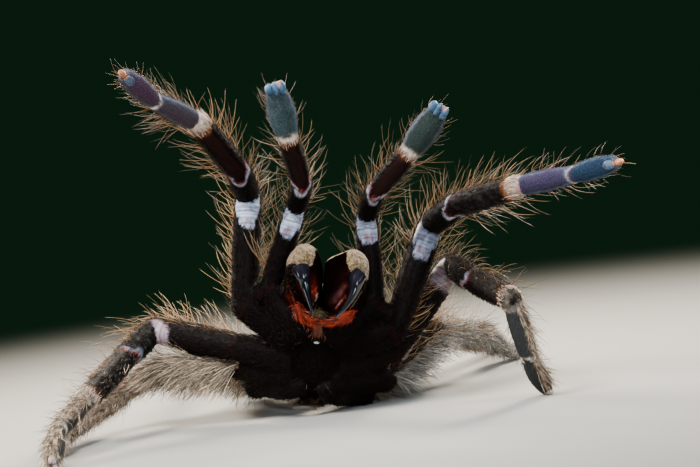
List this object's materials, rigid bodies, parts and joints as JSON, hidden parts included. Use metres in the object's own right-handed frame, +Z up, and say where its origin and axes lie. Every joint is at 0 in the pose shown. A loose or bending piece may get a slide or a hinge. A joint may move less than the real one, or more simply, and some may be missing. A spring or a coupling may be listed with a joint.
{
  "type": "tarantula",
  "caption": "Life-size still tarantula in its threat display: front legs and palps raised, fangs bared, the other feet and the abdomen on the floor.",
  "frame": {"origin": "on the floor, under the middle of the model's box", "axes": "+Z up; the animal faces -Y, so its right side is the -X side"},
  "size_m": [0.0906, 0.09, 0.0572],
  "materials": {
    "black_coat": "short black-brown velvet with golden bristles along the limbs' sides",
    "pale_coat": "brown-beige skin under long whitish hair",
    "foot_pad": "dense brush-like pad with a blue-violet sheen",
    "jaw_coat": "smooth red-brown to blue-grey shell with a cream velvet cap",
    "fang": "polished black horn",
    "eye": "clear black beads on a dark mound",
    "abdomen_coat": "brown velvet with longer rust-coloured hairs"
  },
  "bodies": {
    "root": {"abdomen": "abdomen_coat", "carapace": "black_coat", "chelicera_left": "jaw_coat", "chelicera_right": "jaw_coat", "eye_group": "eye", "fang_left": "fang", "fang_right": "fang", "leg_1_left_coxa": "black_coat", "leg_1_left_femur": "black_coat", "leg_1_left_foot": "foot_pad", "leg_1_left_patella": "black_coat", "leg_1_left_tibia": "black_coat", "leg_1_right_coxa": "black_coat", "leg_1_right_femur": "black_coat", "leg_1_right_foot": "foot_pad", "leg_1_right_patella": "black_coat", "leg_1_right_tibia": "black_coat", "leg_2_left_coxa": "black_coat", "leg_2_left_femur": "black_coat", "leg_2_left_foot": "foot_pad", "leg_2_left_patella": "black_coat", "leg_2_left_tibia": "black_coat", "leg_2_right_coxa": "black_coat", "leg_2_right_femur": "black_coat", "leg_2_right_foot": "foot_pad", "leg_2_right_patella": "black_coat", "leg_2_right_tibia": "black_coat", "leg_3_left_coxa": "black_coat", "leg_3_left_femur": "pale_coat", "leg_3_left_foot": "foot_pad", "leg_3_left_patella": "pale_coat", "leg_3_left_tibia": "pale_coat", "leg_3_right_coxa": "black_coat", "leg_3_right_femur": "pale_coat", "leg_3_right_foot": "foot_pad", "leg_3_right_patella": "pale_coat", "leg_3_right_tibia": "pale_coat", "leg_4_left_coxa": "black_coat", "leg_4_left_femur": "pale_coat", "leg_4_left_foot": "foot_pad", "leg_4_left_patella": "pale_coat", "leg_4_left_tibia": "pale_coat", "leg_4_right_coxa": "black_coat", "leg_4_right_femur": "pale_coat", "leg_4_right_foot": "foot_pad", "leg_4_right_patella": "pale_coat", "leg_4_right_tibia": "pale_coat", "palp_left_coxa": "black_coat", "palp_left_femur": "black_coat", "palp_left_patella": "black_coat", "palp_left_tarsus": "foot_pad", "palp_left_tibia": "black_coat", "palp_right_coxa": "black_coat", "palp_right_femur": "black_coat", "palp_right_patella": "black_coat", "palp_right_tarsus": "foot_pad", "palp_right_tibia": "black_coat", "spinneret_left": "abdomen_coat", "spinneret_right": "abdomen_coat", "sternum": "black_coat"}
  },
  "joints": []
}
